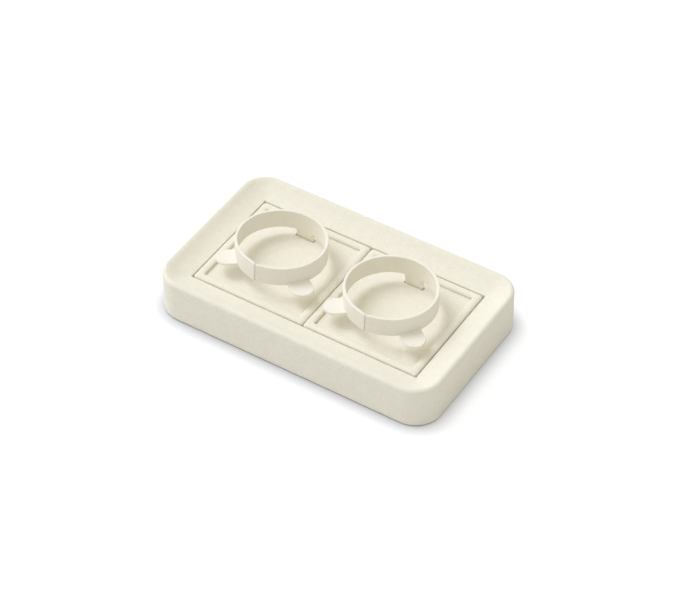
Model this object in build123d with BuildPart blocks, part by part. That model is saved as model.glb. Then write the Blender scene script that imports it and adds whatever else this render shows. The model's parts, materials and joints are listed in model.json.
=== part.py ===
from build123d import *
from math import acos, asin, atan2, cos, degrees, radians, sin, tan
import os

os.makedirs("parts", exist_ok=True)

# A flat display tray with a dished rim. Two square inserts drop into its well, and each insert
# carries a ring-shaped band holder whose tongue plugs into a slit in the insert's panel.
# Millimetres. The origin is the middle of the tray's underside, X runs along the tray, Z is up.

# Fits
lift_clearance = 0.35      # insert to the well wall on its two close sides
insert_gap = 0.5           # between the two inserts
loose_side = 1.0           # insert to the well wall on its two open sides
panel_clearance = 0.15     # panel edge to the border that frames it
lining_clearance = 0.1     # well lining to the well wall
slit_side_clearance = 0.5  # tongue edge to the end of the slit
slit_face_clearance = 0.4  # tongue face to the face of the slit
seam_gap = 0.3             # between the two butted ends of a band

# Tray
tray_height = 29.7
rim_width = 17.7           # outer wall to well, and the corner radius of the tray
lip_round = 2.5            # rounding of the lip's outer edge
dish_width = 14.8          # of the concave slope, from the well outwards
dish_rise = 6.0            # from the well edge to the lip
dish_bend = 28.0           # degrees that the slope turns through
skin = 0.8                 # suede wrapped over the rim, with its glue
base_sheet_thickness = 0.8
base_sheet_inset = 1.5     # the underside sheet stops short of the outer wall
base_board_thickness = 4.0
well_lining_thickness = 0.8

# Inserts
insert_side = 79.4
insert_height = 18.4
insert_corner = 1.2
border_width = 5.2         # of the raised border, skins included
border_round = 1.5
insert_skin = 0.6
panel_drop = 2.1           # panel surface below the border's top
panel_board_thickness = 2.4
ledge_width = 3.0          # step that the panel rests on
insert_base_thickness = 2.5

# Band holders
band_height = 12.7
core_thickness = 0.7       # springy plastic strip
cover_thickness = 0.45     # suede on its outer face
lining_thickness = 0.45    # suede on its inner face
seam_angle = 15.0          # degrees each side of the seam where the band runs straight
left_ear_angle = 41.0      # degrees in front of the tray's long axis
right_ear_angle = 35.5
ear_width = 13.8
left_ear_reach = 11.8      # beyond the band's outer face
right_ear_reach = 13.2
tongue_width = 12.6
tongue_length = 16.0       # below the band's lower edge
tongue_cover_stop = 2.0    # the suede stops this far above the tongue's tip
tongue_offset = -0.4       # sideways from the ring's middle
slit_distance = 26.9       # slit's middle behind the insert's middle
left_ring_offset = -0.55   # ring's middle sideways from the insert's middle
right_ring_offset = -1.2
left_band_radius = 28.7
right_band_radius = 29.05
left_lift = 5.35           # band's lower edge above the panel, at its back
right_lift = 7.2
left_tilt = 4.0            # degrees that the holder leans back in its slit, its front raised
right_tilt = 2.1

# Sizes that follow
well_length = 2 * insert_side + insert_gap + lift_clearance + loose_side
well_width = insert_side + lift_clearance + loose_side
tray_length = well_length + 2 * rim_width
tray_width = well_width + 2 * rim_width
board_bottom = base_sheet_thickness
board_top = board_bottom + base_board_thickness
well_floor = board_top + well_lining_thickness
well_edge = tray_height - dish_rise
insert_top = well_floor + insert_height
panel_top = insert_top - panel_drop
panel_board_top = panel_top - insert_skin
panel_board_bottom = panel_board_top - panel_board_thickness
recess_side = insert_side - 2 * border_width
border_opening = recess_side + 2 * insert_skin
panel_side = border_opening - 2 * panel_clearance
band_thickness = core_thickness + cover_thickness + lining_thickness
insert_y = (loose_side - lift_clearance) / 2
left_insert_x = -well_length / 2 + lift_clearance + insert_side / 2
right_insert_x = left_insert_x + insert_side + insert_gap
left_ring_x = left_insert_x + left_ring_offset
right_ring_x = right_insert_x + right_ring_offset

# The dish is one arc. Its middle slope follows from its rise and width.
middle_slope = degrees(atan2(dish_rise, dish_width))
low_slope = radians(middle_slope - dish_bend / 2)
high_slope = radians(middle_slope + dish_bend / 2)
dish_radius = dish_width / (sin(high_slope) - sin(low_slope))
dish_centre_out = -dish_radius * sin(low_slope)
dish_centre_up = well_edge + dish_radius * cos(low_slope)


def dish_point(depth, slope):
    """Point under the dish surface by depth, out from the well edge and up, at a slope in radians."""
    reach = dish_radius + depth
    return (dish_centre_out + reach * sin(slope), dish_centre_up - reach * cos(slope))


def rim_section(depth, bottom):
    """Cross-section of the rim inside its surface by depth: out from the well edge, and up."""
    inner = depth
    outer = rim_width - depth
    lip_top = tray_height - depth
    start = asin((inner - dish_centre_out) / (dish_radius + depth))
    end = acos((dish_centre_up - lip_top) / (dish_radius + depth))
    edge_round = lip_round - depth
    with BuildSketch(Plane.XY, mode=Mode.PRIVATE) as section:
        with BuildLine():
            Line((inner, bottom), dish_point(depth, start))
            ThreePointArc(dish_point(depth, start), dish_point(depth, (start + end) / 2), dish_point(depth, end))
            Line(dish_point(depth, end), (outer - edge_round, lip_top))
            RadiusArc((outer - edge_round, lip_top), (outer, lip_top - edge_round), edge_round)
            Line((outer, lip_top - edge_round), (outer, bottom))
            Line((outer, bottom), (inner, bottom))
        make_face()
    return section.sketch


def ring_of_rim(depth, bottom):
    """Rim all round the well: four straight runs and four quarter turns about the well's corners."""
    section = rim_section(depth, bottom)
    half_length = well_length / 2
    half_width = well_width / 2
    sides = (
        (half_length, -half_width, (1, 0, 0), well_width),
        (half_length, half_width, (0, 1, 0), well_length),
        (-half_length, half_width, (-1, 0, 0), well_width),
        (-half_length, -half_width, (0, -1, 0), well_length),
    )
    with BuildPart(mode=Mode.PRIVATE) as ring:
        for x, y, outwards, run in sides:
            corner = Vector(x, y, 0)
            along = Vector(0, 0, 1).cross(Vector(*outwards))
            upright = Plane(origin=corner, x_dir=outwards, z_dir=along * -1)
            with BuildSketch(upright):
                add(section)
            extrude(amount=-run)
            with BuildSketch(upright):
                add(section)
            revolve(axis=Axis(corner, (0, 0, 1)), revolution_arc=-90)
    return ring.part


def finish(piece, label):
    """Name a finished piece and write it to its own file."""
    piece.label = label
    export_step(piece, f"parts/{label}.step")


# Tray: rim, its suede skin, base board, lining of the well and sheet under the base
with BuildPart() as rim_core:
    add(ring_of_rim(skin, board_top))
finish(rim_core.part, "rim_core")

with BuildPart() as rim_cover:
    add(ring_of_rim(0, board_bottom))
    add(rim_core.part, mode=Mode.SUBTRACT)
    with BuildSketch(Plane.XY.offset(board_bottom)):
        RectangleRounded(tray_length - 2 * skin, tray_width - 2 * skin, rim_width - skin)
    extrude(amount=base_board_thickness, mode=Mode.SUBTRACT)
finish(rim_cover.part, "rim_cover")

with BuildPart() as base_board:
    with BuildSketch(Plane.XY.offset(board_bottom)):
        RectangleRounded(tray_length - 2 * skin, tray_width - 2 * skin, rim_width - skin)
    extrude(amount=base_board_thickness)
finish(base_board.part, "base_board")

with BuildPart() as well_lining:
    with BuildSketch(Plane.XY.offset(board_top)):
        Rectangle(well_length - 2 * lining_clearance, well_width - 2 * lining_clearance)
    extrude(amount=well_lining_thickness)
finish(well_lining.part, "well_lining")

with BuildPart() as base_sheet:
    with BuildSketch(Plane.XY):
        RectangleRounded(
            tray_length - 2 * base_sheet_inset,
            tray_width - 2 * base_sheet_inset,
            rim_width - base_sheet_inset,
        )
    extrude(amount=base_sheet_thickness)
finish(base_sheet.part, "base_sheet")


def square(centre_x, side, height, corner=0.0):
    """Sketch of an insert-shaped square at a height, with rounded corners where they are given."""
    with BuildSketch(Plane((centre_x, insert_y, height)), mode=Mode.PRIVATE) as outline:
        if corner > 0:
            RectangleRounded(side, side, corner)
        else:
            Rectangle(side, side)
    return outline.sketch


def slit(ring_x, height):
    """Sketch of the slit that a tongue plugs into."""
    middle = (ring_x + tongue_offset, insert_y + slit_distance, height)
    with BuildSketch(Plane(middle), mode=Mode.PRIVATE) as outline:
        Rectangle(tongue_width + 2 * slit_side_clearance, band_thickness + 2 * slit_face_clearance)
    return outline.sketch


def build_insert(side_name, centre_x, ring_x):
    """One square insert: base board, border with its ledge, border skin, panel and panel skin."""
    core_side = insert_side - 2 * insert_skin
    core_corner = insert_corner - insert_skin
    base_top = well_floor + insert_base_thickness

    with BuildPart() as base:
        extrude(square(centre_x, core_side, well_floor, core_corner), amount=insert_base_thickness)
    finish(base.part, f"{side_name}_insert_base")

    with BuildPart() as border:
        extrude(square(centre_x, core_side, base_top, core_corner), amount=insert_top - insert_skin - base_top)
        extrude(
            square(centre_x, border_opening, panel_board_bottom),
            amount=insert_height,
            mode=Mode.SUBTRACT,
        )
        extrude(
            square(centre_x, border_opening - 2 * ledge_width, base_top),
            amount=insert_height,
            mode=Mode.SUBTRACT,
        )
        rims = border.edges().group_by(Axis.Z)[-1]
        fillet(rims, radius=border_round - insert_skin)
    finish(border.part, f"{side_name}_insert_border")

    with BuildPart() as border_skin:
        extrude(square(centre_x, insert_side, well_floor, insert_corner), amount=insert_height)
        extrude(square(centre_x, recess_side, panel_top), amount=insert_height, mode=Mode.SUBTRACT)
        fillet(border_skin.edges().group_by(Axis.Z)[-1], radius=border_round)
        extrude(square(centre_x, border_opening, well_floor), amount=panel_top - well_floor, mode=Mode.SUBTRACT)
        extrude(
            square(centre_x, core_side, well_floor, core_corner),
            amount=panel_board_bottom - well_floor,
            mode=Mode.SUBTRACT,
        )
        add(border.part, mode=Mode.SUBTRACT)
    finish(border_skin.part, f"{side_name}_insert_border_skin")

    with BuildPart() as panel:
        extrude(square(centre_x, panel_side, panel_board_bottom), amount=panel_board_thickness)
        extrude(slit(ring_x, panel_board_bottom), amount=panel_board_thickness, mode=Mode.SUBTRACT)
    finish(panel.part, f"{side_name}_insert_panel")

    with BuildPart() as panel_skin:
        extrude(square(centre_x, panel_side, panel_board_top), amount=insert_skin)
        extrude(slit(ring_x, panel_board_top), amount=insert_skin, mode=Mode.SUBTRACT)
    finish(panel_skin.part, f"{side_name}_insert_panel_skin")


def band_wall(ring_x, ring_y, radius, thickness, bottom, height):
    """Upright wall of a band: a ring that runs straight towards its seam, and is open there."""
    with BuildSketch(Plane((ring_x, ring_y, bottom)), mode=Mode.PRIVATE) as outline:
        for reach, mode in ((radius, Mode.ADD), (radius - thickness, Mode.SUBTRACT)):
            side_x = reach * sin(radians(seam_angle))
            side_y = -reach * cos(radians(seam_angle))
            peak_y = side_y - side_x * tan(radians(seam_angle))
            Circle(reach, mode=mode)
            with BuildLine():
                Polyline((0, 0), (-side_x, side_y), (0, peak_y), (side_x, side_y), close=True)
            make_face(mode=mode)
        with Locations((0, -radius)):
            Rectangle(seam_gap, radius, mode=Mode.SUBTRACT)
    return extrude(outline.sketch, amount=height, mode=Mode.PRIVATE)


def ears(ring_x, ring_y, radius, inner_radius, bottom, thickness):
    """Two flat round-ended ears at the band's lower edge, outside a given radius."""
    with BuildSketch(Plane((ring_x, ring_y, bottom)), mode=Mode.PRIVATE) as outline:
        for angle, reach in ((left_ear_angle - 180, left_ear_reach), (-right_ear_angle, right_ear_reach)):
            tip_x = radius + reach - ear_width / 2
            middle = (tip_x * cos(radians(angle)), tip_x * sin(radians(angle)))
            halfway = (middle[0] / 2, middle[1] / 2)
            with Locations(middle):
                Circle(ear_width / 2)
            with Locations(Location(halfway, angle)):
                Rectangle(tip_x, ear_width)
        Circle(inner_radius, mode=Mode.SUBTRACT)
    return extrude(outline.sketch, amount=thickness, mode=Mode.PRIVATE)


def tongue(ring_x, ring_y, outer_y, thickness, bottom, top):
    """Flat tongue that runs down from the back of the band into the slit."""
    middle = (ring_x + tongue_offset, ring_y + outer_y - thickness / 2, bottom)
    with BuildSketch(Plane(middle), mode=Mode.PRIVATE) as outline:
        Rectangle(tongue_width, thickness)
    return extrude(outline.sketch, amount=top - bottom, mode=Mode.PRIVATE)


def build_holder(side_name, ring_x, radius, lift, tilt):
    """One band holder: a springy strip with ears and a tongue, a suede cover and a suede lining.

    It is built upright and then leaned back about the middle of its slit.
    """
    slit_y = insert_y + slit_distance
    slit_axis = Axis((0, slit_y, (panel_board_bottom + panel_top) / 2), (1, 0, 0))
    ring_y = slit_y + band_thickness / 2 - radius
    bottom = panel_top + lift
    tip = bottom - tongue_length
    suede_tip = tip + tongue_cover_stop
    core_radius = radius - cover_thickness
    lining_radius = core_radius - core_thickness
    inner_radius = radius - band_thickness
    lower_ears = ears(ring_x, ring_y, radius, inner_radius, bottom, lining_thickness)
    core_floor = bottom + lining_thickness
    core_ears = ears(ring_x, ring_y, radius, lining_radius, core_floor, core_thickness)
    cover_floor = core_floor + core_thickness
    upper_ears = ears(ring_x, ring_y, radius, core_radius, cover_floor, cover_thickness)

    with BuildPart() as lining:
        add(band_wall(ring_x, ring_y, lining_radius, lining_thickness, bottom, band_height))
        add(lower_ears)
        add(tongue(ring_x, ring_y, lining_radius, lining_thickness, suede_tip, bottom))
    finish(lining.part.rotate(slit_axis, -tilt), f"{side_name}_band_lining")

    with BuildPart() as core:
        add(band_wall(ring_x, ring_y, core_radius, core_thickness, bottom, band_height))
        add(lower_ears, mode=Mode.SUBTRACT)
        add(core_ears)
        add(tongue(ring_x, ring_y, core_radius, core_thickness, tip, bottom))
    finish(core.part.rotate(slit_axis, -tilt), f"{side_name}_band_core")

    with BuildPart() as cover:
        add(band_wall(ring_x, ring_y, radius, cover_thickness, bottom, band_height))
        add(lower_ears, mode=Mode.SUBTRACT)
        add(core_ears, mode=Mode.SUBTRACT)
        add(upper_ears)
        add(tongue(ring_x, ring_y, radius, cover_thickness, suede_tip, bottom))
    finish(cover.part.rotate(slit_axis, -tilt), f"{side_name}_band_cover")


build_insert("left", left_insert_x, left_ring_x)
build_insert("right", right_insert_x, right_ring_x)
build_holder("left", left_ring_x, left_band_radius, left_lift, left_tilt)
build_holder("right", right_ring_x, right_band_radius, right_lift, right_tilt)
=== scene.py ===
"""Looks of a suede-covered display tray with two lift-out inserts and their band holders.

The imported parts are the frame: boards and strips stay as they are and get a finish, and every
cloth-covered surface is modelled here as its own piece. Metres, in the frame of the parts.
"""

import json
import logging
import math
from dataclasses import dataclass, field
from enum import Enum
from typing import Any, Iterable, Sequence

import bmesh
import bpy
from mathutils import Matrix, Vector, noise


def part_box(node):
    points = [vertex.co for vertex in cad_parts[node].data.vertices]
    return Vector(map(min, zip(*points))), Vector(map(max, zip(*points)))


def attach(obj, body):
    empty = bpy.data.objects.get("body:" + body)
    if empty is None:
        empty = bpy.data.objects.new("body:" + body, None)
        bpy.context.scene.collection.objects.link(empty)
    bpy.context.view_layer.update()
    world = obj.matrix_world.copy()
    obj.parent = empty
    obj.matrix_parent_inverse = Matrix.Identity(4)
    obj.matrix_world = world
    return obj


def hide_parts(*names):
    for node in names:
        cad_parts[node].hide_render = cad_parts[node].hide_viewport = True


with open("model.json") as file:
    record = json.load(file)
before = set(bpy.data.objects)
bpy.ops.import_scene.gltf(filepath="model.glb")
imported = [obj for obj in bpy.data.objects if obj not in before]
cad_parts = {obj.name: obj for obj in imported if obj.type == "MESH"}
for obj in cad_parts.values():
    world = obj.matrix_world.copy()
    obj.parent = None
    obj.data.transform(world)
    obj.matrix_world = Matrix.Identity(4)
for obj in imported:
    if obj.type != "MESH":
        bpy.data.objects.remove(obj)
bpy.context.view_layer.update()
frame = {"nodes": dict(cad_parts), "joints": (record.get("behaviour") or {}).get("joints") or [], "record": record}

MM = 0.001
# Vertices closer than this count as one.
SAME_PLACE = 0.01 * MM
log = logging.getLogger("display_tray")


class Side(Enum):
    """The two inserts, as seen from the tray's long front side."""

    LEFT = "left"
    RIGHT = "right"


class Slot(Enum):
    """Material slots of the record."""

    SUEDE = "suede"
    BOARD = "board"
    STRIP = "strip"
    UNDERSIDE = "underside"


class Sock:
    """A shader socket that adds Math nodes when it is used in an expression."""

    def __init__(self, graph: "Graph", socket: bpy.types.NodeSocket) -> None:
        """Wrap an output socket of a graph."""
        self.graph = graph
        self.socket = socket

    def _math(self, operation: str, first: Any, second: Any) -> "Sock":
        """Add one Math node.

        Args:
            operation: The Math node's operation.
            first: Its first value or socket.
            second: Its second value or socket.

        Returns:
            The node's result.
        """
        return self.graph.add("ShaderNodeMath", {"operation": operation}, {0: first, 1: second})

    def __add__(self, other: Any) -> "Sock":
        """Sum."""
        return self._math("ADD", self, other)

    def __radd__(self, other: Any) -> "Sock":
        """Reflected sum."""
        return self._math("ADD", other, self)

    def __sub__(self, other: Any) -> "Sock":
        """Difference."""
        return self._math("SUBTRACT", self, other)

    def __rsub__(self, other: Any) -> "Sock":
        """Reflected difference."""
        return self._math("SUBTRACT", other, self)

    def __mul__(self, other: Any) -> "Sock":
        """Product."""
        return self._math("MULTIPLY", self, other)

    def __rmul__(self, other: Any) -> "Sock":
        """Reflected product."""
        return self._math("MULTIPLY", other, self)


class Graph:
    """Node tree of one material, with its surface shader and output."""

    def __init__(self, name: str) -> None:
        """Make an empty node material with an output.

        Args:
            name: The material's name.
        """
        self.material = bpy.data.materials.new(name)
        self.material.use_nodes = True
        self.tree = self.material.node_tree
        self.tree.nodes.clear()
        self.output = self.tree.nodes.new("ShaderNodeOutputMaterial")

    def add(
        self,
        kind: str,
        settings: dict[str, Any] | None = None,
        inputs: dict[Any, Any] | None = None,
        out: int | str = 0,
    ) -> Sock:
        """Add one node.

        Args:
            kind: The node's type.
            settings: Properties of the node.
            inputs: Values or sockets by the input's name or place.
            out: Name or place of the output that is wanted.

        Returns:
            That output, wrapped.
        """
        node = self.tree.nodes.new(kind)
        for key, value in (settings or {}).items():
            setattr(node, key, value)
        for key, value in (inputs or {}).items():
            if isinstance(value, Sock):
                self.tree.links.new(value.socket, node.inputs[key])
            else:
                node.inputs[key].default_value = value
        return Sock(self, node.outputs[out])

    def coordinates(self) -> Sock:
        """Object coordinates in millimetres."""
        place = self.add("ShaderNodeTexCoord", out="Object")
        return self.add("ShaderNodeMapping", {}, {"Vector": place, "Scale": (1 / MM,) * 3})

    def noise(self, place: Sock, grain: float, detail: float, rough: float = 0.5) -> Sock:
        """Noise whose grains are about as large as asked.

        Args:
            place: Coordinates in millimetres.
            grain: Size of one grain in millimetres.
            detail: Number of finer layers.
            rough: Strength of the finer layers.

        Returns:
            The noise, about 0 to 1.
        """
        values = {"Vector": place, "Scale": 1 / grain, "Detail": detail, "Roughness": rough}
        return self.add("ShaderNodeTexNoise", {}, values, "Fac")

    def blend(self, factor: Sock, low: Sequence[float], high: Sequence[float]) -> Sock:
        """Mix of two colours.

        Args:
            factor: Share of the second colour.
            low: First colour, linear.
            high: Second colour, linear.

        Returns:
            The mixed colour.
        """
        settings = {"data_type": "RGBA"}
        values = {0: factor, 6: (*low, 1.0), 7: (*high, 1.0)}
        return self.add("ShaderNodeMix", settings, values, 2)

    def bump(self, height: Sock, depth: float, strength: float) -> Sock:
        """Normal of a small relief.

        Args:
            height: Relief, 0 to 1.
            depth: Its full height in metres.
            strength: Share of it that shows.

        Returns:
            The normal.
        """
        values = {"Height": height, "Distance": depth, "Strength": strength}
        return self.add("ShaderNodeBump", {}, values, "Normal")

    def surface(self, inputs: dict[str, Any]) -> bpy.types.Material:
        """Finish the material with one Principled shader.

        Args:
            inputs: Its sockets' values or links.

        Returns:
            The material.
        """
        shader = self.add("ShaderNodeBsdfPrincipled", {}, inputs)
        self.tree.links.new(shader.socket, self.output.inputs["Surface"])
        return self.material


def linear(red: float, green: float, blue: float) -> tuple[float, float, float]:
    """Linear colour of a display colour.

    Args:
        red: Its red, 0 to 255.
        green: Its green.
        blue: Its blue.

    Returns:
        The three linear channels.
    """

    def channel(value: float) -> float:
        """One channel, from display to linear."""
        share = value / 255
        return share / 12.92 if share <= 0.04045 else ((share + 0.055) / 1.055) ** 2.4

    return (channel(red), channel(green), channel(blue))


@dataclass(frozen=True)
class Suede:
    """Short-napped microfibre: soft blotches where the nap leans, and a fine fibre grain."""

    name: str
    dark: tuple[float, float, float]
    light: tuple[float, float, float]
    sheen: float = 0.18
    blotch: float = 5.0
    nap: float = 0.9
    fibre: float = 0.28
    blotch_share: float = 0.3
    nap_share: float = 0.62
    fibre_share: float = 0.8
    darkening: float = 0.36
    relief_depth: float = 0.26 * MM
    relief_strength: float = 0.7

    def material(self) -> bpy.types.Material:
        """Build the material."""
        graph = Graph(self.name)
        place = graph.coordinates()
        blotches = graph.noise(place, self.blotch, 3.0, 0.6)
        nap = graph.noise(place, self.nap, 2.0, 0.55)
        fibre = graph.noise(place, self.fibre, 1.0)
        shade = blotches * self.blotch_share + nap * self.nap_share
        shade = shade + fibre * self.fibre_share - self.darkening
        colour = graph.blend(shade, self.dark, self.light)
        relief = nap * 0.6 + fibre * 0.4
        return graph.surface({
            "Base Color": colour,
            "Roughness": 0.86 + nap * 0.1,
            "Specular IOR Level": 0.15,
            "Sheen Weight": self.sheen,
            "Sheen Roughness": 0.45,
            "Sheen Tint": (1.0, 0.98, 0.94, 1.0),
            "Normal": graph.bump(relief, self.relief_depth, self.relief_strength),
        })


@dataclass(frozen=True)
class Fibreboard:
    """Raw fibreboard: felted brown fibres, with darker specks."""

    name: str = "fibreboard"

    def material(self) -> bpy.types.Material:
        """Build the material."""
        graph = Graph(self.name)
        place = graph.coordinates()
        felt = graph.noise(place, 1.6, 5.0, 0.65)
        specks = graph.noise(place, 0.5, 2.0)
        colour = graph.blend(felt * 0.6 + specks * 0.4, linear(134, 104, 70), linear(196, 164, 122))
        return graph.surface({
            "Base Color": colour,
            "Roughness": 0.8 + specks * 0.12,
            "Specular IOR Level": 0.25,
            "Normal": graph.bump(felt, 0.15 * MM, 0.4),
        })


@dataclass(frozen=True)
class StripPlastic:
    """Matt sheet plastic with a faint drawn texture."""

    name: str = "strip_plastic"

    def material(self) -> bpy.types.Material:
        """Build the material."""
        graph = Graph(self.name)
        place = graph.coordinates()
        haze = graph.noise(place, 3.0, 3.0)
        grain = graph.noise(place, 0.25, 1.0)
        return graph.surface({
            "Base Color": graph.blend(haze, linear(222, 220, 212), linear(236, 234, 228)),
            "Roughness": 0.42 + haze * 0.14,
            "Normal": graph.bump(grain, 0.04 * MM, 0.3),
        })


@dataclass(frozen=True)
class StudioFloor:
    """White floor: overexposed in the open, with a soft painted contact shadow where the object stands on it, made
    by dimming its glow with ambient occlusion.
    """

    name: str = "studio_floor"
    bounce: float = 0.82
    paint: float = 0.3
    glow: float = 0.78
    # Painted contact shadow: within this reach, ambient occlusion dims the floor's camera-only glow.
    painted_shadow_reach: float = 11.0 * MM
    painted_shadow_cutoff: float = 0.08
    painted_shadow_samples: int = 16

    def material(self) -> bpy.types.Material:
        """Build the material."""
        graph = Graph(self.name)
        rays = "ShaderNodeLightPath"
        camera = graph.add(rays, out="Is Camera Ray")
        glossy = graph.add(rays, out="Is Glossy Ray")
        through = graph.add(rays, out="Is Transmission Ray")
        seen = graph.add(
            "ShaderNodeMath", {"operation": "ADD", "use_clamp": True}, {0: camera + glossy, 1: through}
        )
        settings = {"samples": self.painted_shadow_samples}
        values = {"Distance": self.painted_shadow_reach}
        # Painted contact shadow: the glow is gone where the occlusion is at or below the cutoff, and full in the
        # open.
        open_sky = graph.add("ShaderNodeAmbientOcclusion", settings, values, "AO")
        share = graph.add("ShaderNodeMapRange", {}, {"Value": open_sky, "From Min": self.painted_shadow_cutoff})
        light = graph.blend(share, (0.0, 0.0, 0.0), (self.glow,) * 3)
        bounce = graph.add("ShaderNodeBsdfDiffuse", {}, {"Color": (self.bounce,) * 3 + (1.0,)})
        paint = graph.add("ShaderNodeBsdfDiffuse", {}, {"Color": (self.paint,) * 3 + (1.0,)})
        glow = graph.add("ShaderNodeEmission", {}, {"Color": light})
        shown = graph.add("ShaderNodeAddShader", {}, {0: paint, 1: glow})
        both = graph.add("ShaderNodeMixShader", {}, {0: seen, 1: bounce, 2: shown})
        graph.tree.links.new(both.socket, graph.output.inputs["Surface"])
        return graph.material


def arc(centre: Vector, radius: float, start: float, end: float, steps: int) -> list[Vector]:
    """Points of an arc in the plane of a profile.

    Args:
        centre: Its centre.
        radius: Its radius.
        start: First angle in degrees, from the first axis.
        end: Last angle in degrees.
        steps: Number of stretches.

    Returns:
        The points, both ends included.
    """
    turns = (math.radians(start + (end - start) * i / steps) for i in range(steps + 1))
    return [centre + radius * Vector((math.cos(a), math.sin(a))) for a in turns]


def run(first: Vector, last: Vector, steps: int) -> list[Vector]:
    """Points between two ends of a straight stretch, neither end included."""
    return [first.lerp(last, i / steps) for i in range(1, steps)]


def wire_loop(bm: bmesh.types.BMesh, points: Iterable[Vector]) -> list[Any]:
    """Closed wire through points.

    Args:
        bm: Mesh that gets it.
        points: Its corners in order.

    Returns:
        Its vertices and edges.
    """
    verts = [bm.verts.new(point) for point in points]
    edges = [bm.edges.new(pair) for pair in zip(verts, verts[1:] + verts[:1])]
    return [*verts, *edges]


@dataclass(frozen=True)
class Swell:
    """Unevenness of glued cloth: its largest move, the size of one swell, and the noise's offset."""

    height: float
    grain: float
    offset: float


def ruffle(bm: bmesh.types.BMesh, swell: Swell, shift: float = 0.0) -> None:
    """Move vertices in and out a little, as glued cloth follows its board.

    Args:
        bm: Mesh to change.
        swell: The unevenness.
        shift: Added to its offset, so that each piece differs.
    """
    seed = swell.offset + shift
    bm.normal_update()
    for vert in bm.verts:
        move = noise.noise(vert.co / swell.grain + Vector((seed, seed, seed)))
        vert.co += vert.normal * (move * swell.height)


def as_piece(
    bm: bmesh.types.BMesh,
    name: str,
    body: str,
    material: bpy.types.Material,
    replaced: Sequence[str],
    sharp: float = 50.0,
) -> bpy.types.Object:
    """Turn a finished mesh into a piece of the object.

    Args:
        bm: The mesh, in place. It is freed.
        name: The piece's name.
        body: Body that carries it.
        material: Its material.
        replaced: Parts that it stands for.
        sharp: Angle in degrees above which an edge stays sharp.

    Returns:
        The piece.
    """
    mesh = bpy.data.meshes.new(name)
    bm.to_mesh(mesh)
    bm.free()
    mesh.polygons.foreach_set("use_smooth", [True] * len(mesh.polygons))
    mesh.set_sharp_from_angle(angle=math.radians(sharp))
    mesh.materials.append(material)
    piece = bpy.data.objects.new(name, mesh)
    bpy.context.scene.collection.objects.link(piece)
    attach(piece, body)
    if replaced:
        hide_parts(*replaced)
    log.info("%s: %d faces on %s", name, len(mesh.polygons), body)
    return piece


@dataclass
class Camera:
    """Camera at the photograph's viewing angle."""

    azimuth: float = 32.856
    elevation: float = 44.481
    roll: float = -0.441
    distance: float = 1566.4 * MM
    target: tuple[float, float, float] = (-7.42 * MM, 13.43 * MM, 0.0)
    focal_pixels: float = 2527.4
    image_width: float = 679.0
    sensor: float = 36.0
    farthest: float = 10.0

    def build(self) -> None:
        """Add the camera and make it the scene's own."""
        turn = math.radians(self.azimuth)
        rise = math.radians(self.elevation)
        lean = math.radians(self.roll)
        back = Vector((
            math.sin(turn) * math.cos(rise),
            -math.cos(turn) * math.cos(rise),
            math.sin(rise),
        ))
        level = Vector((math.cos(turn), math.sin(turn), 0.0))
        upright = back.cross(level)
        right = level * math.cos(lean) + upright * math.sin(lean)
        up = upright * math.cos(lean) - level * math.sin(lean)
        data = bpy.data.cameras.new("camera")
        data.sensor_width = self.sensor
        data.lens = self.focal_pixels * self.sensor / self.image_width
        data.clip_end = self.farthest
        camera = bpy.data.objects.new("camera", data)
        place = Vector(self.target) + back * self.distance
        camera.matrix_world = Matrix.Translation(place) @ Matrix((right, up, back)).transposed().to_4x4()
        bpy.context.scene.collection.objects.link(camera)
        bpy.context.scene.camera = camera


@dataclass(frozen=True)
class Lamp:
    """One soft far lamp: the bearing and height in degrees that it shines from, its spread and its light."""

    name: str
    bearing: float
    height: float
    spread: float
    power: float
    colour: tuple[float, float, float]

    def build(self) -> None:
        """Add the lamp."""
        turn = math.radians(self.bearing)
        rise = math.radians(self.height)
        source = Vector((math.cos(turn) * math.cos(rise), math.sin(turn) * math.cos(rise), math.sin(rise)))
        data = bpy.data.lights.new(self.name, "SUN")
        data.energy = self.power
        data.color = self.colour
        data.angle = math.radians(self.spread)
        lamp = bpy.data.objects.new(self.name, data)
        lamp.rotation_euler = source.to_track_quat("Z", "Y").to_euler()
        bpy.context.scene.collection.objects.link(lamp)


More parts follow.
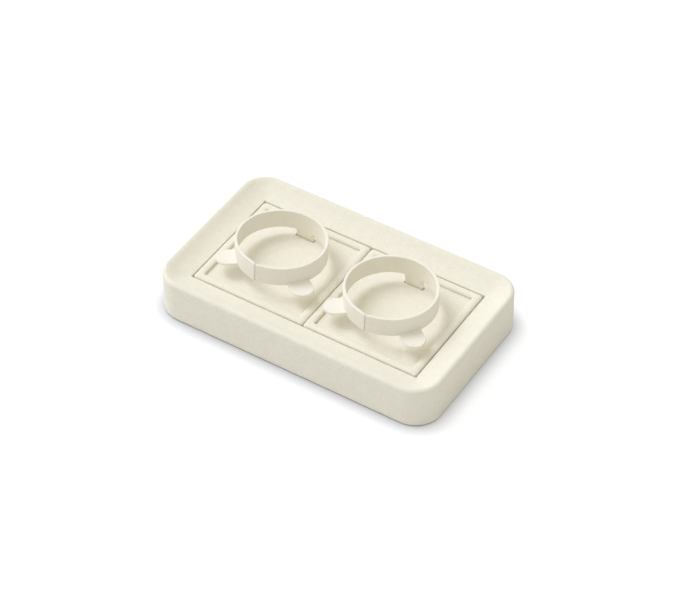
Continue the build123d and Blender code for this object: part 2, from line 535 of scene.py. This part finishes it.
@dataclass
class Studio:
    """White floor, even surrounding light, a soft key behind on the left and a broad glow from the left."""

    ambient: float = 0.635
    ambient_colour: tuple[float, float, float] = (1.0, 0.995, 0.92)
    floor_size: float = 6.0
    lamps: tuple[Lamp, ...] = (
        Lamp("key_lamp", 180.0, 56.0, 30.0, 1.3, (0.83, 0.9, 1.0)),
        Lamp("glow_lamp", 174.0, 38.0, 90.0, 0.94, (0.73, 0.745, 0.97)),
        Lamp("fill_lamp", 300.0, 25.0, 90.0, 0.22, (0.5, 0.55, 1.0)),
    )

    def build(self) -> None:
        """Add the floor, the world and the lamps."""
        bm = bmesh.new()
        bmesh.ops.create_grid(bm, x_segments=1, y_segments=1, size=self.floor_size / 2)
        mesh = bpy.data.meshes.new("studio_floor")
        bm.to_mesh(mesh)
        bm.free()
        mesh.materials.append(StudioFloor().material())
        floor = bpy.data.objects.new("studio_floor", mesh)
        bpy.context.scene.collection.objects.link(floor)
        for lamp in self.lamps:
            lamp.build()
        world = bpy.data.worlds.new("studio_world")
        world.use_nodes = True
        tree = world.node_tree
        background = tree.nodes["Background"]
        rays = tree.nodes.new("ShaderNodeLightPath")
        colour = tree.nodes.new("ShaderNodeMix")
        colour.data_type = "RGBA"
        colour.inputs[6].default_value = (*self.ambient_colour, 1.0)
        colour.inputs[7].default_value = (1.0, 1.0, 1.0, 1.0)
        strength = tree.nodes.new("ShaderNodeMix")
        strength.inputs["A"].default_value = self.ambient
        strength.inputs["B"].default_value = 1.0
        tree.links.new(rays.outputs["Is Camera Ray"], colour.inputs[0])
        tree.links.new(rays.outputs["Is Camera Ray"], strength.inputs["Factor"])
        tree.links.new(colour.outputs[2], background.inputs["Color"])
        tree.links.new(strength.outputs["Result"], background.inputs["Strength"])
        bpy.context.scene.world = world
        bpy.context.scene.view_settings.view_transform = "Standard"


@dataclass
class Tray:
    """The tray: its rim skin, well lining and underside sheet."""

    suede: bpy.types.Material
    cloth: bpy.types.Material
    rim_width: float = 17.7 * MM
    skin: float = 0.8 * MM
    lip_round: float = 2.5 * MM
    dish_width: float = 14.8 * MM
    dish_rise: float = 6.0 * MM
    dish_bend: float = 28.0
    well_round: float = 0.7 * MM
    foot_round: float = 0.9 * MM
    step: float = 2.0 * MM
    corner_steps: int = 14
    well_drop: float = 0.9
    inner_drop: float = 1.6
    dish_trim: float = 3.0
    inner_trim_low: float = 4.0
    inner_trim_high: float = 5.0
    lining_corner: float = 0.6 * MM
    underside_corner: float = 16.2 * MM
    sheet_corner_steps: int = 12
    sheet_edge: float = 0.25 * MM
    level: float = 0.1 * MM
    swell: Swell = Swell(0.10 * MM, 7.0 * MM, 3.0)

    def well_half(self) -> tuple[float, float]:
        """Half the well's length and width, from the rim's own box."""
        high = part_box("rim_cover")[1]
        return high.x - self.rim_width, high.y - self.rim_width

    def rim_profile(self) -> list[Vector]:
        """Closed section of the rim skin: out from the well edge, and up."""
        low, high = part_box("rim_cover")
        bottom = low.z
        board_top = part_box("base_board")[1].z
        edge = high.z - self.dish_rise
        middle = math.atan2(self.dish_rise, self.dish_width)
        slope_low = middle - math.radians(self.dish_bend / 2)
        slope_high = middle + math.radians(self.dish_bend / 2)
        radius = self.dish_width / (math.sin(slope_high) - math.sin(slope_low))
        centre = Vector((-radius * math.sin(slope_low), edge + radius * math.cos(slope_low)))
        lip = Vector((self.rim_width - self.lip_round, high.z - self.lip_round))
        foot = Vector((self.rim_width - self.foot_round, bottom + self.foot_round))
        well = Vector((self.well_round, edge - self.well_round * self.well_drop))
        deep = self.skin
        first, last = math.degrees(slope_low) - 90, math.degrees(slope_high) - 90
        outside = arc(foot, self.foot_round, -90, 0, steps=4)
        wall_end = lip + Vector((self.lip_round, 0))
        outside += run(outside[-1], wall_end, steps=12)
        outside += arc(lip, self.lip_round, 0, 90, steps=8)
        outside += arc(centre, radius, last - self.dish_trim, first + self.dish_trim, steps=14)
        outside += arc(well, self.well_round, 90, 180, steps=4)
        outside += run(outside[-1], Vector((0, board_top)), steps=8) + [Vector((0, board_top))]
        inside = [Vector((deep, board_top)), Vector((deep, edge - self.inner_drop * deep))]
        inner_first = first + self.inner_trim_low
        inner_last = last - self.inner_trim_high
        inside += arc(centre, radius + deep, inner_first, inner_last, steps=8)
        inside += arc(lip, self.lip_round - deep, 90, 0, steps=4)
        inside += [Vector((self.rim_width - deep, bottom))]
        return outside + inside

    def rim(self) -> bpy.types.Object:
        """Rim skin: the section swept round the well, turning about the well's corners."""
        half_x, half_y = self.well_half()
        bm = bmesh.new()
        section = [Vector((half_x + p.x, -half_y, p.y)) for p in self.rim_profile()]
        last = wire_loop(bm, section)
        corners = ((half_x, half_y), (-half_x, half_y), (-half_x, -half_y), (half_x, -half_y))
        moves = ((0, 2 * half_y), (-2 * half_x, 0), (0, -2 * half_y), (2 * half_x, 0))
        for corner, move in zip(corners, moves):
            length = Vector((*move, 0)).length
            steps = round(length / self.step)
            dvec = Vector((*move, 0)) / steps
            straight = bmesh.ops.spin(
                bm, geom=last, cent=(0, 0, 0), axis=(0, 0, 1), dvec=dvec, angle=0.0,
                space=Matrix.Identity(4), steps=steps, use_merge=False,
                use_normal_flip=False, use_duplicate=False,
            )
            turned = bmesh.ops.spin(
                bm, geom=straight["geom_last"], cent=(*corner, 0), axis=(0, 0, 1),
                dvec=(0, 0, 0), angle=math.pi / 2, space=Matrix.Identity(4),
                steps=self.corner_steps, use_merge=False, use_normal_flip=False, use_duplicate=False,
            )
            last = turned["geom_last"]
        bmesh.ops.remove_doubles(bm, verts=bm.verts[:], dist=SAME_PLACE)
        bmesh.ops.recalc_face_normals(bm, faces=bm.faces[:])
        ruffle(bm, self.swell)
        return as_piece(bm, "rim_skin", "tray", self.suede, ["rim_cover"])

    def sheet(
        self, node: str, name: str, corner: float, material: bpy.types.Material
    ) -> bpy.types.Object:
        """One glued-down sheet with softly rounded edges, in the place of its part.

        Args:
            node: Part that it stands for.
            name: The piece's name.
            corner: Radius of its corners.
            material: Its material.

        Returns:
            The piece.
        """
        low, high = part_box(node)
        bm = bmesh.new()
        bmesh.ops.create_grid(bm, x_segments=1, y_segments=1, size=0.5)
        size = (high.x - low.x, high.y - low.y, 1.0)
        bmesh.ops.scale(bm, vec=size, verts=bm.verts[:])
        bmesh.ops.translate(bm, vec=(*((low + high) / 2).xy, low.z), verts=bm.verts[:])
        bmesh.ops.bevel(
            bm, geom=bm.verts[:], offset=corner, segments=self.sheet_corner_steps, profile=0.5,
            affect="VERTICES", material=-1,
        )
        raised = bmesh.ops.extrude_face_region(bm, geom=bm.faces[:])
        top = [item for item in raised["geom"] if isinstance(item, bmesh.types.BMVert)]
        bmesh.ops.translate(bm, vec=(0, 0, high.z - low.z), verts=top)
        bmesh.ops.recalc_face_normals(bm, faces=bm.faces[:])
        rims = [edge for edge in bm.edges if abs(edge.verts[0].co.z - edge.verts[1].co.z) < self.level]
        bmesh.ops.bevel(
            bm, geom=rims, offset=self.sheet_edge, segments=3, profile=0.5, affect="EDGES", material=-1,
        )
        piece = as_piece(bm, name, "tray", material, [node])
        return piece

    def build(self) -> None:
        """Build the tray's pieces."""
        self.rim()
        self.sheet("well_lining", "well_floor_suede", self.lining_corner, self.suede)
        self.sheet("base_sheet", "underside_cloth", self.underside_corner, self.cloth)


@dataclass
class Insert:
    """One square insert: the suede over its raised border, and the suede on its panel."""

    side: Side
    suede: bpy.types.Material
    border: float = 5.2 * MM
    skin: float = 0.6 * MM
    outer_round: float = 1.7 * MM
    inner_round: float = 1.3 * MM
    crown: float = 0.22 * MM
    corner: float = 1.6 * MM
    panel_crown: float = 0.25 * MM
    crown_angle: float = 78.0
    mitre_margin: float = 0.1 * MM
    mitre_longest: float = 50.0 * MM
    border_cuts: int = 35
    panel_cells: int = 46
    panel_fall: int = 6
    panel_fold: float = 0.2 * MM
    slit_end_ease: float = 0.3 * MM
    slit_half_width: float = 1.3 * MM
    border_swell: Swell = Swell(0.10 * MM, 5.0 * MM, 11.0)
    panel_swell: Swell = Swell(0.06 * MM, 6.0 * MM, 23.0)

    def node(self, name: str) -> str:
        """Name of one of this insert's parts."""
        return f"{self.side.value}_insert_{name}"

    def border_profile(self) -> list[Vector]:
        """Closed section of the border skin: out from the insert's middle, and up."""
        low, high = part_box(self.node("border_skin"))
        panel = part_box(self.node("panel_skin"))[1].z
        half = (high.x - low.x) / 2
        inner = half - self.border
        deep = self.skin
        top = high.z - self.crown
        outer_centre = Vector((half - self.outer_round, top - self.outer_round))
        inner_centre = Vector((inner + self.inner_round, top - self.inner_round))
        outside = [Vector((half, low.z))]
        outside += run(outside[0], outer_centre + Vector((self.outer_round, 0)), steps=8)
        outside += arc(outer_centre, self.outer_round, 0, self.crown_angle, steps=6)
        middle = (outer_centre.x + inner_centre.x) / 2
        outside += [Vector((middle, high.z))]
        outside += arc(inner_centre, self.inner_round, 180 - self.crown_angle, 180, steps=6)
        outside += [Vector((inner, panel))]
        inside = [
            Vector((inner + deep, panel)),
            Vector((inner + deep, top - self.inner_round)),
            Vector((inner + self.inner_round, top - deep)),
            Vector((half - self.outer_round, top - deep)),
            Vector((half - deep, top - self.outer_round)),
            Vector((half - deep, low.z)),
        ]
        return outside + inside

    def border_piece(self) -> bpy.types.Object:
        """Border skin: the section turned round the insert in four mitred quarters."""
        low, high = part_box(self.node("border_skin"))
        centre = (low + high) / 2
        bm = bmesh.new()
        diagonal = [
            Vector((centre.x + p.x, centre.y + p.x, p.y)) for p in self.border_profile()
        ]
        loop = wire_loop(bm, diagonal)
        bmesh.ops.spin(
            bm, geom=loop, cent=(centre.x, centre.y, 0), axis=(0, 0, 1), dvec=(0, 0, 0),
            angle=2 * math.pi, space=Matrix.Identity(4), steps=4, use_merge=True,
            use_normal_flip=False, use_duplicate=False,
        )
        bmesh.ops.remove_doubles(bm, verts=bm.verts[:], dist=SAME_PLACE)
        bmesh.ops.recalc_face_normals(bm, faces=bm.faces[:])
        half = (high.x - low.x) / 2
        reach = half - self.outer_round - self.mitre_margin
        mitres = [edge for edge in bm.edges if self._is_outer_mitre(edge, centre, reach)]
        bmesh.ops.bevel(
            bm, geom=mitres, offset=self.corner, segments=5, profile=0.5, affect="EDGES",
            material=-1, clamp_overlap=True,
        )
        long_edges = [edge for edge in bm.edges if edge.calc_length() > half]
        bmesh.ops.subdivide_edges(bm, edges=long_edges, cuts=self.border_cuts, use_grid_fill=True)
        ruffle(bm, self.border_swell, centre.x / MM)
        return as_piece(
            bm, self.node("border_suede"), self.body(), self.suede,
            [self.node("border_skin")],
        )

    def _is_outer_mitre(self, edge: bmesh.types.BMEdge, centre: Vector, reach: float) -> bool:
        """Tell whether an edge runs down one of the border's outer corners.

        Args:
            edge: The edge.
            centre: The insert's middle.
            reach: Least distance of the corners from the middle, along each side.

        Returns:
            Whether it does.
        """
        for vert in edge.verts:
            from_centre = vert.co - centre
            on_diagonal = abs(abs(from_centre.x) - abs(from_centre.y)) < SAME_PLACE
            if not on_diagonal or abs(from_centre.x) < reach:
                return False
        return edge.calc_length() < self.mitre_longest

    def body(self) -> str:
        """Name of the body that carries this insert."""
        return f"{self.side.value}_insert"

    def panel_piece(self) -> bpy.types.Object:
        """Panel suede: a slightly crowned sheet with the slit that the tongue plugs into."""
        node = self.node("panel_skin")
        low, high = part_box(node)
        centre = (low + high) / 2
        half = (high.x - low.x) / 2
        holder = Holder(self.side, self.suede)
        slit_x, slit_y = holder.tongue_place()
        gap_x = holder.tongue_width / 2 + self.slit_end_ease
        gap_y = self.slit_half_width
        bm = bmesh.new()
        bmesh.ops.create_grid(bm, x_segments=self.panel_cells, y_segments=self.panel_cells, size=half)
        bmesh.ops.translate(bm, vec=(centre.x, centre.y, high.z), verts=bm.verts[:])
        cuts = (
            ((slit_x - gap_x, 0, 0), (1, 0, 0)), ((slit_x + gap_x, 0, 0), (1, 0, 0)),
            ((0, slit_y - gap_y, 0), (0, 1, 0)), ((0, slit_y + gap_y, 0), (0, 1, 0)),
        )
        for place, normal in cuts:
            everything = bm.verts[:] + bm.edges[:] + bm.faces[:]
            bmesh.ops.bisect_plane(
                bm, geom=everything, dist=2 * SAME_PLACE, plane_co=place, plane_no=normal,
            )
        inside = [
            face for face in bm.faces
            if abs(face.calc_center_median().x - slit_x) < gap_x
            and abs(face.calc_center_median().y - slit_y) < gap_y
        ]
        bmesh.ops.delete(bm, geom=inside, context="FACES")
        for vert in bm.verts:
            spot = (vert.co - centre) / half
            fall = max(abs(spot.x), abs(spot.y)) ** self.panel_fall
            vert.co.z -= self.panel_crown * fall
        rim = [edge for edge in bm.edges if edge.is_boundary]
        skirt = bmesh.ops.extrude_edge_only(bm, edges=rim)
        lower = [item for item in skirt["geom"] if isinstance(item, bmesh.types.BMVert)]
        for vert in lower:
            vert.co.z = low.z
        folded = [edge for edge in rim if edge.is_valid]
        bmesh.ops.bevel(
            bm, geom=folded, offset=self.panel_fold, segments=2, profile=0.5, affect="EDGES",
            material=-1, clamp_overlap=True,
        )
        bmesh.ops.recalc_face_normals(bm, faces=bm.faces[:])
        ruffle(bm, self.panel_swell, centre.x / MM)
        piece = as_piece(
            bm, self.node("panel_suede"), self.body(), self.suede, [node], sharp=70.0
        )
        return piece

    def build(self) -> None:
        """Build the insert's pieces."""
        self.border_piece()
        self.panel_piece()


@dataclass
class Holder:
    """One band holder: a suede-wrapped strip with a butted seam, two ears and a tongue.

    It is built upright and then leaned back about the middle of its slit, like its parts.
    """

    side: Side
    suede: bpy.types.Material
    thickness: float = 1.8 * MM
    part_thickness: float = 1.6 * MM
    cover: float = 0.45 * MM
    band_height: float = 12.7 * MM
    tongue_length: float = 16.0 * MM
    cover_stop: float = 2.0 * MM
    seam_angle: float = 15.0
    left_ear: float = 41.0
    right_ear: float = 35.5
    ear_width: float = 14.3 * MM
    left_reach: float = 12.05 * MM
    right_reach: float = 13.45 * MM
    tongue_width: float = 13.0 * MM
    tongue_shift: float = -0.4 * MM
    proud: float = 0.2 * MM
    fold: float = 1.0 * MM
    step: float = 1.3 * MM
    notch: float = 0.9 * MM
    notch_width: float = 2.0 * MM
    notch_fade: float = 3.0 * MM
    slit_distance: float = 26.9 * MM
    wall_sample: float = 1.0 * MM
    low_row: float = 0.25 * MM
    top_row: float = 0.5 * MM
    wall_rows: int = 8
    near_wall: float = 1.1
    seam_gap: float = 0.1 * MM
    seam_ease: float = 0.04
    end_steps: int = 8
    turn_steps: int = 4
    ear_steps: int = 4
    tip_steps: int = 7
    tip_turn: float = 84.0
    tongue_steps: int = 8
    flatten_rate: int = 6
    swell: Swell = Swell(0.12 * MM, 8.0 * MM, 31.0)
    bottom: float = field(init=False)
    radius: float = field(init=False)
    middle: Vector = field(init=False)

    def __post_init__(self) -> None:
        """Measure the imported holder."""
        self.measure()

    def body(self) -> str:
        """Name of the body that is this holder."""
        return f"{self.side.value}_holder"

    def node(self, name: str) -> str:
        """Name of one of this holder's parts."""
        return f"{self.side.value}_band_{name}"

    def lean(self) -> float:
        """Angle in radians that the holder leans back, from its joint's axis."""
        joint = next(joint for joint in frame["joints"] if joint["child"] == self.body())
        axis = Vector(joint["axis"])
        return math.atan2(axis.y, axis.z)

    def pivot(self) -> Vector:
        """Middle of the slit, which the holder leans about."""
        board_low, board_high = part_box(f"{self.side.value}_insert_panel")
        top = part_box(f"{self.side.value}_insert_panel_skin")[1].z
        middle = (board_low + board_high) / 2
        return Vector((middle.x, middle.y + self.slit_distance, (board_low.z + top) / 2))

    def upright(self) -> list[Vector]:
        """Places of the core's corners, once the core is turned upright again."""
        core = frame["nodes"][self.node("core")]
        back = Matrix.Rotation(self.lean(), 3, "X")
        pivot = self.pivot()
        return [back @ (vert.co - pivot) + pivot for vert in core.data.vertices]

    def measure(self) -> None:
        """Find the band's outer radius, and its middle at its lower edge."""
        spots = self.upright()
        top = max(spot.z for spot in spots)
        self.bottom = min(spot.z for spot in spots) + self.tongue_length
        wall = [spot for spot in spots if spot.z > top - self.wall_sample]
        left = min(spot.x for spot in wall)
        right = max(spot.x for spot in wall)
        self.radius = (right - left) / 2 + self.cover
        back = max(spot.y for spot in wall) + self.cover
        self.middle = Vector(((left + right) / 2, back - self.radius, self.bottom))

    def tongue_place(self) -> tuple[float, float]:
        """Middle of the tongue in plan, where it goes through the slit."""
        return self.middle.x + self.tongue_shift, self.pivot().y

    def rows(self) -> list[float]:
        """Heights of the band's mesh rows above its lower edge."""
        top = self.band_height + self.proud
        root = self.fold + self.part_thickness / 2
        height = top - self.top_row - root
        inner = [root + height * i / self.wall_rows for i in range(self.wall_rows + 1)]
        return [-self.proud, self.low_row, *inner, top]

    def _spin(self, bm: bmesh.types.BMesh, geom: list[Any], angle: float, steps: int) -> list[Any]:
        """Sweep the band's upright edge round its middle.

        Args:
            bm: The band's mesh.
            geom: Vertices and edges of the upright edge.
            angle: Angle in radians.
            steps: Number of steps.

        Returns:
            The last upright edge.
        """
        swept = bmesh.ops.spin(
            bm, geom=geom, cent=self.middle, axis=(0, 0, 1), dvec=(0, 0, 0), angle=angle,
            space=Matrix.Identity(4), steps=steps, use_merge=False, use_normal_flip=False,
            use_duplicate=False,
        )
        return swept["geom_last"]

    def _slide(self, bm: bmesh.types.BMesh, geom: list[Any], move: Vector, steps: int) -> list[Any]:
        """Sweep the band's upright edge along a line.

        Args:
            bm: The band's mesh.
            geom: Vertices and edges of the upright edge.
            move: The whole move.
            steps: Number of steps.

        Returns:
            The last upright edge.
        """
        swept = bmesh.ops.spin(
            bm, geom=geom, cent=(0, 0, 0), axis=(0, 0, 1), dvec=move / steps, angle=0.0,
            space=Matrix.Identity(4), steps=steps, use_merge=False, use_normal_flip=False,
            use_duplicate=False,
        )
        return swept["geom_last"]

    def strip(self) -> bpy.types.Object:
        """The wrapped strip: its wall first, then the ears folded out and the tongue run down."""
        middle = self.middle
        reach = self.radius - self.part_thickness / 2
        straight = math.radians(self.seam_angle)
        end_gap = self.seam_gap + self.thickness * self.seam_ease
        flat = reach * math.tan(straight)
        ear_half = math.asin(self.ear_width / 2 / reach)
        ear_left = math.pi + math.radians(self.left_ear)
        ear_right = -math.radians(self.right_ear)
        tongue_half = math.asin(self.tongue_width / 2 / reach)
        tongue_shift = math.asin(self.tongue_shift / reach)
        seam = math.radians(-90) + straight
        stops = (
            seam,
            ear_right - ear_half,
            ear_right + ear_half,
            math.pi / 2 - tongue_shift - tongue_half,
            math.pi / 2 - tongue_shift + tongue_half,
            ear_left - ear_half,
            ear_left + ear_half,
            math.radians(270) - straight,
        )
        bm = bmesh.new()
        start = middle + reach * Vector((math.cos(seam), math.sin(seam), 0))
        tangent = Vector((-math.sin(seam), math.cos(seam), 0))
        first = start - tangent * (flat - end_gap)
        verts = [bm.verts.new(first + Vector((0, 0, height))) for height in self.rows()]
        edges = [bm.edges.new(pair) for pair in zip(verts, verts[1:])]
        last = self._slide(bm, [*verts, *edges], tangent * (flat - end_gap), self.end_steps)
        for here, there in zip(stops, stops[1:]):
            steps = max(2, round((there - here) * reach / self.step))
            last = self._spin(bm, last, there - here, steps)
        final = Vector((-math.sin(stops[-1]), math.cos(stops[-1]), 0))
        self._slide(bm, last, final * (flat - end_gap), self.end_steps)
        bmesh.ops.remove_doubles(bm, verts=bm.verts[:], dist=SAME_PLACE / 2)
        self._round_ends(bm)
        self._fold_ear(bm, ear_left, ear_half, self.left_reach)
        self._fold_ear(bm, ear_right, ear_half, self.right_reach)
        self._run_tongue(bm, math.pi / 2 - tongue_shift, tongue_half)
        bmesh.ops.recalc_face_normals(bm, faces=bm.faces[:])
        ruffle(bm, self.swell, middle.x / MM)
        turn = Matrix.Rotation(-self.lean(), 3, "X")
        bmesh.ops.rotate(bm, cent=self.pivot(), matrix=turn, verts=bm.verts[:])
        piece = as_piece(
            bm, self.node("suede"), self.body(), self.suede,
            [self.node("cover"), self.node("lining")], sharp=180.0,
        )
        wall = piece.modifiers.new("wall", "SOLIDIFY")
        wall.thickness = self.thickness
        wall.offset = 0.0
        wall.use_even_offset = True
        smooth = piece.modifiers.new("smooth", "SUBSURF")
        smooth.levels = 2
        smooth.render_levels = 2
        return piece

    def _round_ends(self, bm: bmesh.types.BMesh) -> None:
        """Lower the corners of the band's two ends, so that the seam has a notch in its top edge."""
        top = self.bottom + self.band_height + self.proud
        for vert in bm.verts:
            aside = abs(vert.co.x - self.middle.x)
            if vert.co.y > self.middle.y or aside > self.notch_width:
                continue
            near_top = max(0.0, 1 - (top - vert.co.z) / self.notch_fade)
            vert.co.z -= self.notch * near_top * (1 - aside / self.notch_width) ** 2

    def _stretch(self, bm: bmesh.types.BMesh, angle: float, half: float, height: float) -> list[Any]:
        """Find the edges of the wall at one height, round one direction from the middle.

        Args:
            bm: The band's mesh.
            angle: The direction in radians.
            half: Largest angle from it.
            height: Height above the band's lower edge.

        Returns:
            The edges.
        """
        found = []
        for edge in bm.edges:
            if any(abs(vert.co.z - self.bottom - height) > SAME_PLACE for vert in edge.verts):
                continue
            halfway = (edge.verts[0].co + edge.verts[1].co) / 2 - self.middle
            away = math.atan2(halfway.y, halfway.x) - angle
            away = (away + math.pi) % (2 * math.pi) - math.pi
            if abs(away) < half and halfway.xy.length < self.near_wall * self.radius:
                found.append(edge)
        return found

    def _fold_ear(self, bm: bmesh.types.BMesh, angle: float, half: float, reach: float) -> None:
        """Fold one ear outwards from the band's lower edge.

        Args:
            bm: The band's mesh.
            angle: Direction of the ear from the band's middle.
            half: Half the angle that its root takes.
            reach: How far it reaches beyond the band's outer face.
        """
        middle = self.middle
        root_height = self.fold + self.part_thickness / 2
        low_rows = [
            face for height in (-self.proud, self.low_row)
            for edge in self._stretch(bm, angle, half, height)
            for face in edge.link_faces if face.calc_center_median().z < self.bottom + root_height
        ]
        bmesh.ops.delete(bm, geom=list(set(low_rows)), context="FACES")
        edges = self._stretch(bm, angle, half, root_height)
        outward = Vector((math.cos(angle), math.sin(angle), 0))
        across = Vector((-outward.y, outward.x, 0))
        roots = {}
        half_width = self.ear_width / 2
        straight = reach + self.part_thickness / 2 - half_width - self.fold
        plan = []
        for i in range(1, self.turn_steps + 1):
            phi = math.pi / 2 * i / self.turn_steps
            plan.append((self.fold * (1 - math.cos(phi)), self.fold * math.sin(phi), 1.0, 0.0))
        for i in range(1, self.ear_steps + 1):
            share = i / self.ear_steps
            plan.append((self.fold + straight * share, self.fold, 1.0, share))
        for i in range(1, self.tip_steps + 1):
            phi = math.radians(self.tip_turn) * i / self.tip_steps
            out = self.fold + straight + half_width * math.sin(phi)
            plan.append((out, self.fold, math.cos(phi), 1.0))
        verts = list({vert for edge in edges for vert in edge.verts})
        for vert in verts:
            from_middle = vert.co - middle
            roots[vert] = (from_middle.dot(across), from_middle.dot(outward))
        top_reach = max(value[1] for value in roots.values())
        for out, down, width, flatten in plan:
            grown = bmesh.ops.extrude_edge_only(bm, edges=edges)
            edges = [item for item in grown["geom"] if isinstance(item, bmesh.types.BMEdge)
                     and all(v in grown["geom"] for v in item.verts)]
            new_verts = [item for item in grown["geom"] if isinstance(item, bmesh.types.BMVert)]
            fresh = {}
            for vert in new_verts:
                source = min(roots, key=lambda root: (root.co - vert.co).length_squared)
                fresh[vert] = roots[source]
            for vert, (aside, ahead) in fresh.items():
                level = ahead + (top_reach - ahead) * flatten
                spot = middle + across * (aside * width) + outward * (level + out)
                vert.co = Vector((spot.x, spot.y, self.bottom + root_height - down))
            roots = fresh

    def _run_tongue(self, bm: bmesh.types.BMesh, angle: float, half: float) -> None:
        """Run the tongue straight down from the back of the band, flattening it on the way.

        Args:
            bm: The band's mesh.
            angle: Direction of its middle from the band's middle.
            half: Half the angle that its root takes.
        """
        edges = self._stretch(bm, angle, half, -self.proud)
        flat_y = self.tongue_place()[1]
        start = self.bottom - self.proud
        end = self.bottom - self.tongue_length + self.cover_stop
        for i in range(1, self.tongue_steps + 1):
            share = i / self.tongue_steps
            grown = bmesh.ops.extrude_edge_only(bm, edges=edges)
            verts = [item for item in grown["geom"] if isinstance(item, bmesh.types.BMVert)]
            edges = [item for item in grown["geom"] if isinstance(item, bmesh.types.BMEdge)
                     and all(v in grown["geom"] for v in item.verts)]
            for vert in verts:
                vert.co.z = start + (end - start) * share
                vert.co.y += (flat_y - vert.co.y) * min(1.0, share * self.flatten_rate)


def dress_parts(board: bpy.types.Material, strip: bpy.types.Material) -> None:
    """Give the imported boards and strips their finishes.

    Args:
        board: Material of the boards.
        strip: Material of the springy strips.
    """
    finishes = {Slot.BOARD.value: board, Slot.STRIP.value: strip}
    for entry in frame["record"]["subparts"]:
        finish = finishes.get(entry["material_slot"])
        if finish is None:
            continue
        slots = frame["nodes"][entry["node"]].data.materials
        slots.clear()
        slots.append(finish)


def main() -> None:
    """Build the scene in order."""
    Camera().build()
    Studio().build()
    suede = Suede("warm_white_suede", linear(221, 213, 191), linear(252, 247, 231)).material()
    band_suede = Suede("band_suede", linear(231, 224, 205), linear(249, 245, 232), blotch=9.0).material()
    cloth = Suede("underside_cloth", linear(214, 208, 192), linear(236, 231, 217), 0.1).material()
    dress_parts(Fibreboard().material(), StripPlastic().material())
    Tray(suede, cloth).build()
    for side in Side:
        Insert(side, suede).build()
        Holder(side, band_suede).strip()


if __name__ == "__main__":
    logging.basicConfig(level=logging.INFO, format="%(name)s: %(message)s")
    main()
